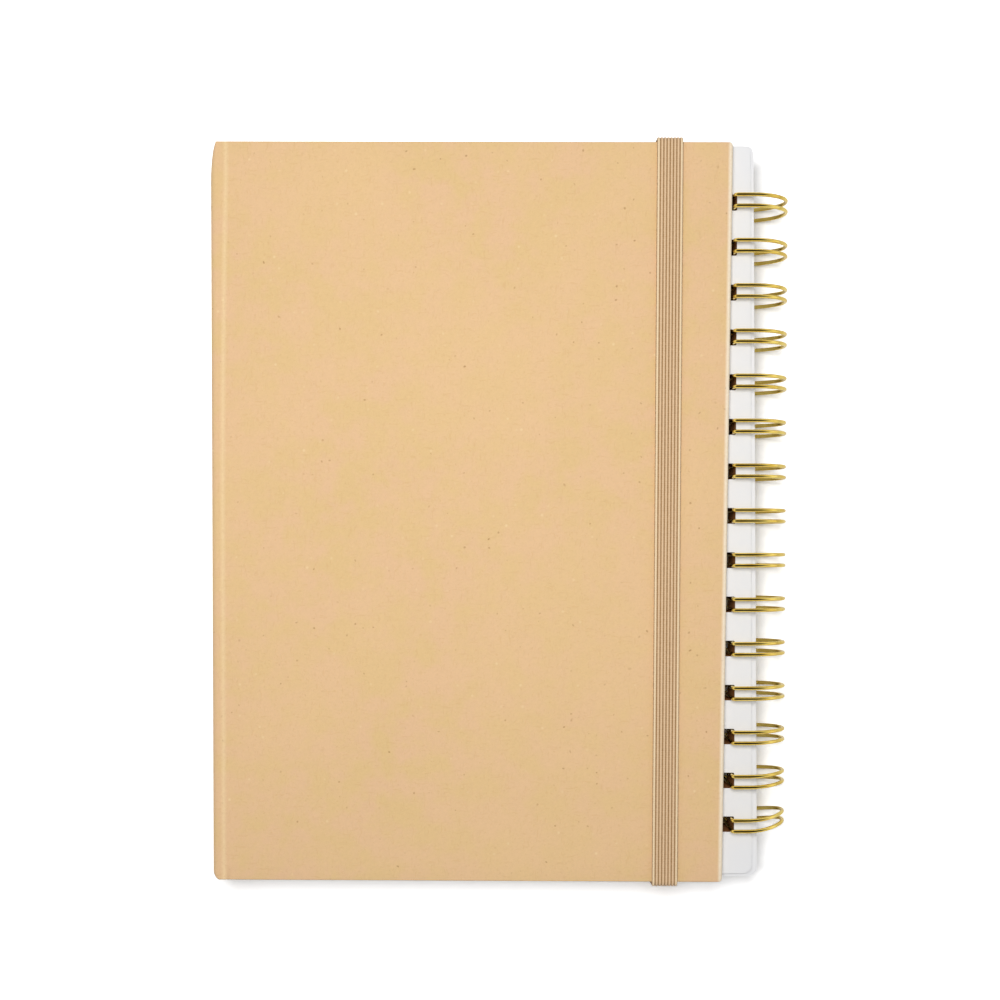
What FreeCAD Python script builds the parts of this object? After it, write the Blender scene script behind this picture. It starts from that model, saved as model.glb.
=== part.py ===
import FreeCAD, Part
import math
import os
import Sketcher

# A5 notebook bound on the right by a gilt twin-loop wire, in a hard case covered with kraft paper.
# It lies closed on its back: X runs from the spine to the wire, Y from foot to head, Z up from the
# outside of the back cover. The origin is the middle of that outside. Lengths are in millimetres.

V = FreeCAD.Vector
MITRED = 1
NEAR = 1e-3
HALF_TURN = 180.0
QUARTER_TURN = 90.0
DOC = FreeCAD.newDocument("notebook")
SHEET = DOC.addObject("Spreadsheet::Sheet", "Sizes")

# Driving sizes, each with the words that name it
SIZES = [
    ("case_width", 146.3, "outside of the spine to the free edge of the cover"),
    ("case_height", 210.3, "head to foot of the case"),
    ("board_thickness", 1.9, "grey board inside each cover"),
    ("covering_thickness", 0.25, "kraft paper pasted round the boards"),
    ("lining_thickness", 0.2, "white paper pasted inside each cover"),
    ("lining_margin", 3.0, "edge of the cover left bare round the lining"),
    ("turn_in", 12.0, "width of kraft paper folded to the inside"),
    ("edge_radius", 0.5, "round of the paper over a board's head and foot"),
    ("free_edge_radius", 1.15, "round of the paper over a board's free edge"),
    ("roll_radius", 1.8, "roll of the paper over the two long edges of the spine"),
    ("spine_corner_radius", 1.8, "round of the case at the ends of the spine"),
    ("free_corner_radius", 0.8, "round of the cover's two free corners"),
    ("joint_gap", 0.5, "spine lining to the hinged edge of a cover board"),
    ("fold_play", 0.1, "paper of one cover to the paper of the spine"),
    ("spine_play", 0.3, "spine board to the paper that folds over its edge"),
    ("pages_thickness", 13.3, "all the writing sheets pressed together"),
    ("card_thickness", 0.8, "backing card behind the sheets"),
    ("page_play", 0.3, "top sheet to the lining of the front cover"),
    ("page_spine_play", 4.4, "lining of the spine to the near edge of the sheets"),
    ("page_inset", 0.75, "head or foot of the case to the sheets"),
    ("page_shift", 0.2, "sheets above the middle of the wire"),
    ("page_margin", 6.75, "wire to the edge of the sheets beyond it"),
    ("page_corner_radius", 2.2, "round of the sheets' two wire-side corners"),
    ("loose_thickness", 1.0, "top sheets that lie back from the rest"),
    ("loose_setback", 1.4, "how far those sheets lie back from the wire side"),
    ("loose_lift", 1.1, "how far those sheets lie up from the foot"),
    ("loose_drop", 0.3, "how far those sheets lie down from the head"),
    ("hole_width", 4.4, "punched hole across the sheet"),
    ("hole_height", 4.65, "punched hole along the wire"),
    ("hole_play", 0.33, "wire to the outer side of its hole"),
    ("skew_degrees", 0.5, "wire and sheets turned against the case"),
    ("wire_setback", 1.95, "free edge of the case to the middle of the wire's leg"),
    ("wire_diameter", 1.24, "binding wire"),
    ("wire_pitch", 12.7, "one twin loop to the next"),
    ("loop_count", 15, "twin loops"),
    ("wire_sides", 8, "flats round the section of the wire"),
    ("bend_step", 30.0, "most that the wire turns from one short run to the next"),
    ("pair_spacing", 3.1, "two wires of a twin loop, middle to middle"),
    ("play_below", 1.03, "backing card to the wire below it"),
    ("play_above", 2.33, "top sheet to the wire above it"),
    ("wire_overhang", 9.8, "edge of the sheets to the outermost middle of the wire"),
    ("leg_bend_radius", 1.6, "bend of the wire into and out of the hole"),
    ("crown_radius", 12.0, "wide part of the loop's curve"),
    ("crown_degrees", 50.0, "turn of the wide part"),
    ("link_radius", 1.0, "bend of the wire from a loop into its link"),
    ("closing_gap", 2.2, "middle of the closed tip's bend to the line of the links"),
    ("tip_run", 0.4, "straight wire between the leg's bend and the tip's bend"),
    ("elastic_width", 7.3, "elastic band"),
    ("elastic_thickness", 1.2, "elastic band"),
    ("elastic_inset", 13.6, "free edge of the cover to the near side of the band"),
    ("elastic_play", 0.1, "band to the case that it goes round"),
    ("elastic_bend_radius", 1.7, "outside of the band's bend over the front cover"),
    ("tuck_radius", 0.6, "outside of the band's bend where it leaves the back board"),
    ("tail_length", 10.0, "end of the band glued into the back board"),
    ("tail_play", 0.1, "band's end to the sides of its recess"),
]


def fill_sheet():
    """Writes each driving size into the sheet under its own alias."""
    for row, (alias, value, meaning) in enumerate(SIZES, start=1):
        SHEET.set(f"A{row}", meaning)
        SHEET.set(f"B{row}", str(value))
        SHEET.setAlias(f"B{row}", alias)
    DOC.recompute()


def size(alias):
    """The value of a driving size."""
    return float(getattr(SHEET, alias))


fill_sheet()

# Places worked out from the driving sizes, as expressions for the document's objects
FREE_EDGE = "Sizes.case_width / 2"
HEAD = "Sizes.case_height / 2"
SKIN = "Sizes.covering_thickness"
PANEL = "(2 * Sizes.covering_thickness + Sizes.board_thickness + Sizes.lining_thickness)"
BLOCK = "(Sizes.card_thickness + Sizes.pages_thickness)"
CLOSED = f"(2 * {PANEL} + {BLOCK} + Sizes.page_play)"
BOARD_START = f"(-{FREE_EDGE} + {PANEL} + Sizes.joint_gap)"
BAND_START = f"({FREE_EDGE} - Sizes.elastic_inset - Sizes.elastic_width)"
TAIL_TOP = "(Sizes.covering_thickness + Sizes.board_thickness)"
TAIL_BOTTOM = f"({TAIL_TOP} - Sizes.elastic_thickness)"


def bind(item, **expressions):
    """Ties properties of an object to expressions; a double underscore stands for a dot."""
    for name, expression in expressions.items():
        item.setExpression(name.replace("__", "."), expression)
    return item


def slab(name, x_span, y_span, z_span):
    """A box between two expressions along each axis."""
    box = DOC.addObject("Part::Box", name)
    bind(
        box,
        Length=f"{x_span[1]} - ({x_span[0]})",
        Width=f"{y_span[1]} - ({y_span[0]})",
        Height=f"{z_span[1]} - ({z_span[0]})",
        Placement__Base__x=x_span[0],
        Placement__Base__y=y_span[0],
        Placement__Base__z=z_span[0],
    )
    return box


def cut(name, base, tools):
    """The base with each tool taken out of it in turn."""
    for step, tool in enumerate(tools, start=1):
        result = DOC.addObject("Part::Cut", f"{name}_cut{step}")
        result.Base = base
        result.Tool = tool
        base = result
    return base


def fuse(name, first, second):
    """Two solids joined into one."""
    joined = DOC.addObject("Part::Fuse", name)
    joined.Base = first
    joined.Tool = second
    joined.Refine = True
    return joined


def rounded(name, base, choices):
    """The base with the edges that each (test, radius) chooses rounded."""
    DOC.recompute()
    picked = []
    for index, edge in enumerate(base.Shape.Edges, start=1):
        for test, radius in choices:
            if test(edge):
                picked.append((index, radius, radius))
                break
    fillet = DOC.addObject("Part::Fillet", name)
    fillet.Base = base
    fillet.Edges = picked
    return fillet


def direction(edge):
    """Unit vector along a straight edge, pointing the positive way."""
    run = edge.Vertexes[-1].Point - edge.Vertexes[0].Point
    run.normalize()
    return V(abs(run.x), abs(run.y), abs(run.z))


def along_z(edge, x_side):
    """True for an upright edge on the side of X that x_side gives."""
    return direction(edge).z > 0.99 and edge.CenterOfMass.x * x_side > 0


def finish(item, label):
    """Gives a finished sub-part the name of its file."""
    item.Label = label
    return item


def on_face(edge, outer_z):
    """True for an edge of the outside face."""
    return abs(edge.CenterOfMass.z - outer_z) < NEAR


def along_y(edge, x_side):
    """True for an edge from foot to head on the side of X that x_side gives."""
    return direction(edge).y > 0.99 and edge.CenterOfMass.x * x_side > 0


def outer_face(item, front):
    """Height of a cover piece's outside: its top in front, its bottom behind."""
    DOC.recompute()
    return item.Shape.BoundBox.ZMax if front else item.Shape.BoundBox.ZMin


def cover_levels(front):
    """Heights of a cover's layers, outside to inside, as expressions."""
    depths = [
        "0",
        SKIN,
        f"({SKIN} + Sizes.board_thickness)",
        f"(2 * {SKIN} + Sizes.board_thickness)",
        PANEL,
    ]
    if front:
        return [f"({CLOSED} - {depth})" for depth in depths]
    return depths


def span(first, second, front):
    """Two levels in rising order: a front cover's levels fall inwards."""
    return (second, first) if front else (first, second)


def cover_board(name, front):
    """Grey board of a cover, its free edge rubbed round on the outside to suit the paper."""
    levels = cover_levels(front)
    board = slab(
        f"{name}_slab",
        (BOARD_START, f"({FREE_EDGE} - {SKIN})"),
        (f"-({HEAD} - {SKIN})", f"({HEAD} - {SKIN})"),
        span(levels[1], levels[2], front),
    )
    outer_z = outer_face(board, front)

    def rubbed(edge):
        return on_face(edge, outer_z) and along_y(edge, 1)

    return rounded(f"{name}_rubbed", board, [(rubbed, size("free_edge_radius") - size("covering_thickness"))])


def cover_covering(side, front):
    """Kraft paper over the outside and three edges of a cover, folded in round its rim."""
    levels = cover_levels(front)
    outside = slab(
        f"{side}_paper_outside",
        (f"-{FREE_EDGE}", FREE_EDGE),
        (f"-{HEAD}", HEAD),
        span(levels[0], levels[3], front),
    )
    outer_z = outer_face(outside, front)
    soft = rounded(
        f"{side}_paper_rounded",
        outside,
        [
            (lambda edge: along_z(edge, -1), size("spine_corner_radius")),
            (lambda edge: along_z(edge, 1), size("free_corner_radius")),
            (lambda edge: on_face(edge, outer_z) and along_y(edge, 1), size("free_edge_radius")),
            (lambda edge: on_face(edge, outer_z) and along_y(edge, -1), size("roll_radius")),
            (lambda edge: on_face(edge, outer_z), size("edge_radius")),
        ],
    )
    board_room = cover_board(f"{side}_paper_board_room", front)
    lining_room = slab(
        f"{side}_paper_lining_room",
        (BOARD_START, f"({FREE_EDGE} - Sizes.turn_in)"),
        (f"-({HEAD} - Sizes.turn_in)", f"({HEAD} - Sizes.turn_in)"),
        span(levels[2], levels[3], front),
    )
    fold_room = slab(
        f"{side}_paper_fold_room",
        (f"-{FREE_EDGE}", BOARD_START),
        (f"-{HEAD}", HEAD),
        span(levels[1], levels[3], front),
    )
    return cut(f"{side}_paper", soft, [board_room, lining_room, fold_room])


def cover_lining(side, front):
    """White paper over the folded-in kraft, pressed down level with the board between it."""
    levels = cover_levels(front)
    sheet = slab(
        f"{side}_lining_sheet",
        (BOARD_START, f"({FREE_EDGE} - Sizes.lining_margin)"),
        (f"-({HEAD} - Sizes.lining_margin)", f"({HEAD} - Sizes.lining_margin)"),
        span(levels[3], levels[4], front),
    )
    pressed = slab(
        f"{side}_lining_pressed",
        (BOARD_START, f"({FREE_EDGE} - Sizes.turn_in)"),
        (f"-({HEAD} - Sizes.turn_in)", f"({HEAD} - Sizes.turn_in)"),
        span(levels[2], levels[3], front),
    )
    return fuse(f"{side}_lining_whole", sheet, pressed)


def band_slot(name, y_span, z_span):
    """Room for the glued end of the elastic band, across the band's width."""
    return slab(
        name,
        (f"({BAND_START} - Sizes.tail_play)", f"({BAND_START} + Sizes.elastic_width + Sizes.tail_play)"),
        y_span,
        z_span,
    )


def front_cover():
    """The cover that lifts: board, kraft covering and lining."""
    finish(cover_board("front_board", True), "front_board")
    finish(cover_covering("front", True), "front_covering")
    finish(cover_lining("front", True), "front_lining")


def back_cover():
    """The cover underneath, with a recess and a slit at head and foot for the elastic band."""
    recess_end = f"({HEAD} - {SKIN} - Sizes.tail_length - Sizes.tail_play)"
    board_tools = []
    paper_tools = []
    for end, sign in (("head", 1), ("foot", -1)):
        recess = (recess_end, HEAD) if sign > 0 else (f"-{HEAD}", f"-{recess_end}")
        slit = (f"({HEAD} - 2 * {SKIN})", HEAD) if sign > 0 else (f"-{HEAD}", f"-({HEAD} - 2 * {SKIN})")
        board_tools.append(band_slot(f"recess_{end}", recess, (TAIL_BOTTOM, TAIL_TOP)))
        paper_tools.append(band_slot(f"slit_{end}", slit, (TAIL_BOTTOM, TAIL_TOP)))
    board = cut("back_board_recessed", cover_board("back_board", False), board_tools)
    paper = cut("back_paper_slit", cover_covering("back", False), paper_tools)
    finish(board, "back_board")
    finish(paper, "back_covering")
    finish(cover_lining("back", False), "back_lining")


def spine():
    """The upright strip that joins the covers: board, kraft covering and lining."""
    outside_x = f"-{FREE_EDGE}"
    board_x = (f"(-{FREE_EDGE} + {SKIN})", f"(-{FREE_EDGE} + {SKIN} + Sizes.board_thickness)")
    fold_x = (board_x[1], f"(-{FREE_EDGE} + 2 * {SKIN} + Sizes.board_thickness)")
    lining_x = (fold_x[1], f"(-{FREE_EDGE} + {PANEL})")
    paper_z = (f"({SKIN} + Sizes.fold_play)", f"({CLOSED} - {SKIN} - Sizes.fold_play)")
    board_z = (f"({SKIN} + Sizes.spine_play)", f"({CLOSED} - {SKIN} - Sizes.spine_play)")
    inner_y = (f"-({HEAD} - {SKIN})", f"({HEAD} - {SKIN})")
    window_y = (f"-({HEAD} - Sizes.turn_in)", f"({HEAD} - Sizes.turn_in)")
    lining_y = (f"-({HEAD} - Sizes.lining_margin)", f"({HEAD} - Sizes.lining_margin)")

    skin = size("covering_thickness")
    outer_side = size("case_width") / 2 - skin - NEAR
    corner = size("spine_corner_radius")
    roll = size("roll_radius")

    def outer_upright(edge):
        return direction(edge).z > 0.99 and edge.CenterOfMass.x < -outer_side

    def outer_long(edge):
        return direction(edge).y > 0.99 and edge.CenterOfMass.x < -outer_side

    board_slab = slab("spine_board_slab", board_x, inner_y, board_z)
    board_roll = roll - skin - size("spine_play")
    choices = [(outer_upright, corner - skin), (outer_long, board_roll)]
    finish(rounded("spine_board_rounded", board_slab, choices), "spine_board")

    outside = slab("spine_paper_outside", (outside_x, fold_x[1]), (f"-{HEAD}", HEAD), ("0", CLOSED))
    soft = rounded("spine_paper_rounded", outside, [(outer_upright, corner), (outer_long, roll)])
    room = slab("spine_paper_room", board_x, inner_y, (SKIN, f"({CLOSED} - {SKIN})"))
    room_choices = [(outer_upright, corner - skin), (outer_long, roll - skin)]
    soft_room = rounded("spine_paper_room_rounded", room, room_choices)
    window = slab("spine_paper_window", fold_x, window_y, ("0", CLOSED))
    above = slab("spine_paper_above", (outside_x, fold_x[1]), (f"-{HEAD}", HEAD), (paper_z[1], CLOSED))
    below = slab("spine_paper_below", (outside_x, fold_x[1]), (f"-{HEAD}", HEAD), ("0", paper_z[0]))
    finish(cut("spine_paper", soft, [soft_room, window, above, below]), "spine_covering")

    sheet = slab("spine_lining_sheet", lining_x, lining_y, board_z)
    pressed = slab("spine_lining_pressed", fold_x, window_y, board_z)
    finish(fuse("spine_lining_whole", sheet, pressed), "spine_lining")


def plane_of(body, role):
    """One of a body's own origin planes."""
    return next(plane for plane in body.Origin.OriginFeatures if plane.Role == role)


def sketch_rectangle(body, name, spans, height=None):
    """A rectangle on the body's ground plane, its four sides held by expressions."""
    sketch = body.newObject("Sketcher::SketchObject", name)
    sketch.AttachmentSupport = [(plane_of(body, "XY_Plane"), "")]
    sketch.MapMode = "FlatFace"
    if height:
        sketch.setExpression("AttachmentOffset.Base.z", height)
    corners = [V(-2, -1, 0), V(2, -1, 0), V(2, 1, 0), V(-2, 1, 0)]
    for start, end in zip(corners, corners[1:] + corners[:1]):
        sketch.addGeometry(Part.LineSegment(start, end), False)
    for line in range(4):
        sketch.addConstraint(Sketcher.Constraint("Coincident", line, 2, (line + 1) % 4, 1))
    for line, kind in enumerate(("Horizontal", "Vertical", "Horizontal", "Vertical")):
        sketch.addConstraint(Sketcher.Constraint(kind, line))
    for kind, corner, expression in (
        ("DistanceX", 0, spans[0]),
        ("DistanceY", 0, spans[2]),
        ("DistanceX", 2, spans[1]),
        ("DistanceY", 2, spans[3]),
    ):
        start = corners[corner]
        value = start.x if kind == "DistanceX" else start.y
        number = sketch.addConstraint(Sketcher.Constraint(kind, -1, 1, corner, 1, value))
        sketch.setExpression(f"Constraints[{number}]", expression)
    return sketch


def punched_stack(label, thickness, bottom, loose):
    """Sheets of one outline with a row of rectangular holes, the wire's leg over the origin."""
    body = DOC.addObject("PartDesign::Body", f"{label}_body")
    half = f"({HEAD} - Sizes.page_inset)"
    outline = (
        f"{PANEL} + Sizes.page_spine_play - Sizes.case_width - Sizes.wire_setback",
        "Sizes.page_margin",
        f"Sizes.page_shift - {half}",
        f"Sizes.page_shift + {half}",
    )
    pad = body.newObject("PartDesign::Pad", f"{label}_sheets")
    pad.Profile = sketch_rectangle(body, f"{label}_outline", outline)
    pad.setExpression("Length", f"{thickness} - Sizes.loose_thickness" if loose else thickness)
    if loose:
        top_outline = (
            outline[0],
            f"{outline[1]} - Sizes.loose_setback",
            f"{outline[2]} + Sizes.loose_lift",
            f"{outline[3]} - Sizes.loose_drop",
        )
        level = f"{thickness} - Sizes.loose_thickness"
        top = body.newObject("PartDesign::Pad", f"{label}_loose_sheets")
        top.Profile = sketch_rectangle(body, f"{label}_loose_outline", top_outline, level)
        top.setExpression("Length", "Sizes.loose_thickness")
    DOC.recompute()
    corners = []
    for number, edge in enumerate(body.Shape.Edges, start=1):
        if direction(edge).z > 0.99 and edge.CenterOfMass.x > 0:
            corners.append(f"Edge{number}")
    sheets = body.Tip
    fillet = body.newObject("PartDesign::Fillet", f"{label}_corners")
    fillet.Base = (sheets, corners)
    fillet.setExpression("Radius", "Sizes.page_corner_radius")
    DOC.recompute()

    outer = "(Sizes.wire_diameter / 2 + Sizes.hole_play)"
    row_end = "(Sizes.loop_count - 1) * Sizes.wire_pitch / 2"
    hole = (
        f"{outer} - Sizes.hole_width",
        outer,
        f"{row_end} - Sizes.hole_height / 2",
        f"{row_end} + Sizes.hole_height / 2",
    )
    pocket = body.newObject("PartDesign::Pocket", f"{label}_hole")
    pocket.Profile = sketch_rectangle(body, f"{label}_hole_outline", hole)
    pocket.Type = "ThroughAll"
    pocket.Midplane = True
    DOC.recompute()
    row = body.newObject("PartDesign::LinearPattern", f"{label}_row")
    row.Originals = [pocket]
    row.Direction = (pocket.Profile[0], ["V_Axis"])
    row.Reversed = True
    row.setExpression("Length", "(Sizes.loop_count - 1) * Sizes.wire_pitch")
    row.setExpression("Occurrences", "Sizes.loop_count")
    body.Tip = row
    DOC.recompute()
    turn_with_wire(body, bottom)
    return finish(body, label)


def turn_with_wire(item, bottom):
    """Sets a piece over the row of the wire's legs, turned a little against the case."""
    item.Placement = FreeCAD.Placement(V(0, 0, 0), FreeCAD.Rotation(V(0, 0, 1), size("skew_degrees")))
    bind(
        item,
        Placement__Rotation__Angle="Sizes.skew_degrees",
        Placement__Base__x=f"{FREE_EDGE} + Sizes.wire_setback",
        Placement__Base__z=bottom,
    )


def straight(path, run):
    """Adds a straight run, in the way the path now points."""
    path["points"].append(path["points"][-1] + path["heading"] * run)


def bend(path, toward, radius, degrees):
    """Turns the path in short runs about a centre, and gives back the turned direction to it."""
    start = path["points"][-1]
    centre = start + toward * radius
    axis = path["heading"].cross(toward)
    steps = max(1, round(degrees / size("bend_step")))
    for step in range(1, steps + 1):
        turn = FreeCAD.Rotation(axis, degrees * step / steps)
        path["points"].append(centre + turn.multVec(start - centre))
    path["heading"] = turn.multVec(path["heading"])
    return turn.multVec(toward)


def wire_section(middle):
    """Section of the wire with many flats and the area of a round one, square to Y."""
    sides = int(size("wire_sides"))
    step = 2 * math.pi / sides
    radius = size("wire_diameter") / 2 * math.sqrt(step / math.sin(step))
    corners = []
    for number in range(sides):
        angle = step * (number + 0.5)
        corners.append(middle + V(radius * math.cos(angle), 0, radius * math.sin(angle)))
    return Part.makePolygon(corners + corners[:1])


def loop_out(path, sizes):
    """One wire of a loop from its link: out, up round the nose, over, down the hole to the tip."""
    up, left = V(0, 0, 1), V(-1, 0, 0)
    straight(path, sizes["foot_run"])
    inward = bend(path, up, sizes["crown_radius"], sizes["crown_degrees"])
    inward = bend(path, inward, sizes["nose_radius"], sizes["nose_degrees"])
    bend(path, inward, sizes["crown_radius"], sizes["crown_degrees"])
    straight(path, sizes["top_run"])
    bend(path, -up, sizes["leg_bend"], QUARTER_TURN)
    straight(path, sizes["leg_run"])
    bend(path, -left, sizes["leg_bend"], QUARTER_TURN)
    straight(path, sizes["tip_run"])


def loop_back(path, sizes):
    """The same way back from the tip to the next link."""
    up, left = V(0, 0, 1), V(-1, 0, 0)
    straight(path, sizes["tip_run"])
    bend(path, up, sizes["leg_bend"], QUARTER_TURN)
    straight(path, sizes["leg_run"])
    bend(path, -left, sizes["leg_bend"], QUARTER_TURN)
    straight(path, sizes["top_run"])
    inward = bend(path, -up, sizes["crown_radius"], sizes["crown_degrees"])
    inward = bend(path, inward, sizes["nose_radius"], sizes["nose_degrees"])
    bend(path, inward, sizes["crown_radius"], sizes["crown_degrees"])
    straight(path, sizes["foot_run"])


def ring_sizes():
    """Runs and radii of a loop, worked out so that it closes round the sheets."""
    diameter = size("wire_diameter")
    block = size("card_thickness") + size("pages_thickness")
    ring_height = block + diameter + size("play_below") + size("play_above")
    crown = size("crown_radius")
    angle = math.radians(size("crown_degrees"))
    nose = crown - (crown - ring_height / 2) / math.cos(angle)
    reach = size("page_margin") + size("wire_overhang")
    crown_start = reach - nose - (crown - nose) * math.sin(angle)
    leg_bend = size("leg_bend_radius")
    link_x = leg_bend + size("tip_run") + size("closing_gap")
    return {
        "crown_radius": crown,
        "crown_degrees": size("crown_degrees"),
        "nose_radius": nose,
        "nose_degrees": HALF_TURN - 2 * size("crown_degrees"),
        "top_run": crown_start - leg_bend,
        "leg_bend": leg_bend,
        "leg_run": ring_height - 2 * leg_bend,
        "tip_run": size("tip_run"),
        "link_x": link_x,
        "foot_run": crown_start - link_x - size("link_radius"),
        "ring_height": ring_height,
    }


def wire_binding():
    """One wire bent to and fro into twin loops, closed under the sheets and joined by links."""
    sizes = ring_sizes()
    count = int(size("loop_count"))
    pitch = size("wire_pitch")
    half_pair = size("pair_spacing") / 2
    link_radius = size("link_radius")
    link_run = pitch - 2 * half_pair - 2 * link_radius
    right, down_row = V(1, 0, 0), V(0, -1, 0)
    first_y = (count - 1) * pitch / 2 + half_pair
    start = V(sizes["link_x"], first_y + link_radius + link_run / 2, 0)
    path = {"points": [start], "heading": down_row}
    straight(path, link_run / 2)
    for number in range(count):
        bend(path, right, link_radius, QUARTER_TURN)
        loop_out(path, sizes)
        bend(path, down_row, half_pair, HALF_TURN)
        loop_back(path, sizes)
        bend(path, down_row, link_radius, QUARTER_TURN)
        straight(path, link_run if number < count - 1 else link_run / 2)
    middle_line = Part.makePolygon(path["points"])
    wire = DOC.addObject("Part::Feature", "wire")
    wire.Shape = middle_line.makePipeShell([wire_section(start)], True, False, MITRED)
    turn_with_wire(wire, f"{PANEL} - Sizes.play_below - Sizes.wire_diameter / 2")
    return finish(wire, "wire_binding")


def elastic_band():
    """Flat band from the back board, round the head and foot and over the front cover."""
    over = f"({CLOSED} + Sizes.elastic_play)"
    beside = f"({HEAD} + Sizes.elastic_play)"
    band_x = (BAND_START, f"({BAND_START} + Sizes.elastic_width)")
    outer_y = f"({beside} + Sizes.elastic_thickness)"
    outside = slab(
        "band_outside",
        band_x,
        (f"-{outer_y}", outer_y),
        (TAIL_BOTTOM, f"({over} + Sizes.elastic_thickness)"),
    )
    inside = slab("band_inside", band_x, (f"-{beside}", beside), (TAIL_TOP, over))
    bend_radius = size("elastic_bend_radius")

    DOC.recompute()
    half_way = outside.Shape.CenterOfMass.z

    def crosswise(edge):
        return direction(edge).x > 0.99

    def crosswise_above(edge):
        return crosswise(edge) and edge.CenterOfMass.z > half_way

    choices = [(crosswise_above, bend_radius), (crosswise, size("tuck_radius"))]
    soft_outside = rounded("band_outside_bent", outside, choices)
    inner_radius = bend_radius - size("elastic_thickness")
    soft_inside = rounded("band_inside_bent", inside, [(crosswise_above, inner_radius)])
    tail_start = f"({HEAD} - {SKIN} - Sizes.tail_length)"
    gap = slab("band_gap", band_x, (f"-{tail_start}", tail_start), (TAIL_BOTTOM, TAIL_TOP))
    finish(cut("band", soft_outside, [soft_inside, gap]), "elastic_band")


def check_and_write(labels):
    """Stops on any failed object or bad solid, then writes one file for each sub-part."""
    DOC.recompute()
    for item in DOC.Objects:
        if "Invalid" in item.State or "Error" in item.State:
            raise RuntimeError(f"{item.Name} failed: {item.State}")
    os.makedirs("parts", exist_ok=True)
    parts = {item.Label: item for item in DOC.Objects if item.Label in labels}
    for label in labels:
        shape = parts[label].Shape
        if shape.isNull() or not shape.isValid():
            raise RuntimeError(f"{label} has no valid shape")
    for label in labels:
        shape = parts[label].Shape
        shape.exportStep(f"parts/{label}.step")
        print(label, "solids", len(shape.Solids), "volume", round(shape.Volume, 1))


front_cover()
spine()
back_cover()
punched_stack("backing_card", "Sizes.card_thickness", PANEL, False)
punched_stack("page_block", "Sizes.pages_thickness", f"({PANEL} + Sizes.card_thickness)", True)
wire_binding()
elastic_band()
check_and_write([
    "front_board",
    "front_covering",
    "front_lining",
    "spine_board",
    "spine_covering",
    "spine_lining",
    "back_board",
    "back_covering",
    "back_lining",
    "backing_card",
    "page_block",
    "wire_binding",
    "elastic_band",
])
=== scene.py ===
import math
import bpy
import bmesh
from mathutils import Euler, Matrix, Vector


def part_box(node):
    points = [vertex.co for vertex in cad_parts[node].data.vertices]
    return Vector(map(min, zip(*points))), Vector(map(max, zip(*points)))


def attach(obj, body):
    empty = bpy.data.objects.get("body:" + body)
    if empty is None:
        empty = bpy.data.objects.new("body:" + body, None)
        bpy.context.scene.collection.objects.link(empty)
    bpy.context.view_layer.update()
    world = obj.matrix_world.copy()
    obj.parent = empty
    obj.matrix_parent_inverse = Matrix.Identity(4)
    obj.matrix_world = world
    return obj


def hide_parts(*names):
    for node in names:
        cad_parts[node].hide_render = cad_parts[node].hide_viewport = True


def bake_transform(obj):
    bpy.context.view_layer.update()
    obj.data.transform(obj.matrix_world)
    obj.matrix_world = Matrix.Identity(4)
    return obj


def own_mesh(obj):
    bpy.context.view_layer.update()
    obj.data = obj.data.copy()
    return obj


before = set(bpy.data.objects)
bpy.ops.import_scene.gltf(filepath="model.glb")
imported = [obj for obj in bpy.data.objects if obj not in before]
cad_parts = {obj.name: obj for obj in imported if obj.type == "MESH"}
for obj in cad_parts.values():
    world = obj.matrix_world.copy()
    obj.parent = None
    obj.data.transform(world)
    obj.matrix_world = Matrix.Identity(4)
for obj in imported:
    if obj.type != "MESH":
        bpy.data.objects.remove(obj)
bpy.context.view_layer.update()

MM = 0.001

# Writing sheets: about 120 leaves of plain white paper, cut and punched together on a machine.
# They hang on the binding wire; the top few leaves have slipped back a little from the rest.
BLOCK_LOW, BLOCK_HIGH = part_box("page_block")
CASE_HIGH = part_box("front_covering")[1]
WIRE_SKEW = math.radians(0.25)
WIRE_X = CASE_HIGH.x + 2.65 * MM
WIRE_FRAME = Matrix.Translation((WIRE_X, 0, 0)) @ Matrix.Rotation(WIRE_SKEW, 4, "Z")
SHEET_SPINE_X = -141.25 * MM
SHEET_WIRE_X = 6.75 * MM
SHEET_HEIGHT = 209.3 * MM
SHEET_RISE = 0.4 * MM
SHEET_LEAN = 1.1 * MM
SHEET_CORNER = 2.2 * MM
HOLE_WIDTH = 4.4 * MM
HOLE_HEIGHT = 4.65 * MM
HOLE_MIDDLE_X = -1.25 * MM
HOLE_CORNER = 0.45 * MM
WIRE_PITCH = 12.7 * MM
LOOP_COUNT = 15
LEAF = 0.107 * MM
LEAF_STEP = 0.1105 * MM
LOOSE_STACK = 1.0 * MM
LOOSE_SETBACK = 1.4 * MM
LOOSE_LIFT = 1.1 * MM
LOOSE_DROP = 0.3 * MM
LEAF_SCATTER = 0.07 * MM
LEAN_START_X = 2.0 * MM
# Painted shade in the punched holes: where it reaches, and its dark brown.
SHADE_DEPTH = 0.2 * MM
SHADE_MIDDLE_X = -1.3 * MM
SHADE_HALF = 2.9 * MM
SHADE_MARGIN = 5.0 * MM
HOLE_PAINTED_SHADE = "#8A5C36"
PAPER_WHITE = "#F3F3F4"


def linear(hex_colour):
    """A colour written as #RRGGBB, as the linear RGBA that a shader takes."""
    channels = []
    for start in (1, 3, 5):
        value = int(hex_colour[start:start + 2], 16) / 255
        if value <= 0.04045:
            channels.append(value / 12.92)
        else:
            channels.append(((value + 0.055) / 1.055) ** 2.4)
    return (*channels, 1.0)


def feed(tree, value, socket):
    """Sets a socket to a value, or links it to an output or to a node's first output."""
    if isinstance(value, bpy.types.Node):
        value = value.outputs[0]
    if isinstance(value, bpy.types.NodeSocket):
        tree.links.new(value, socket)
    else:
        socket.default_value = value


def add_node(tree, kind, inputs=None, **settings):
    """A node with its settings made and its inputs fed."""
    made = tree.nodes.new(kind)
    for name, value in settings.items():
        setattr(made, name, value)
    for name, value in (inputs or {}).items():
        feed(tree, value, made.inputs[name])
    return made


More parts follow.
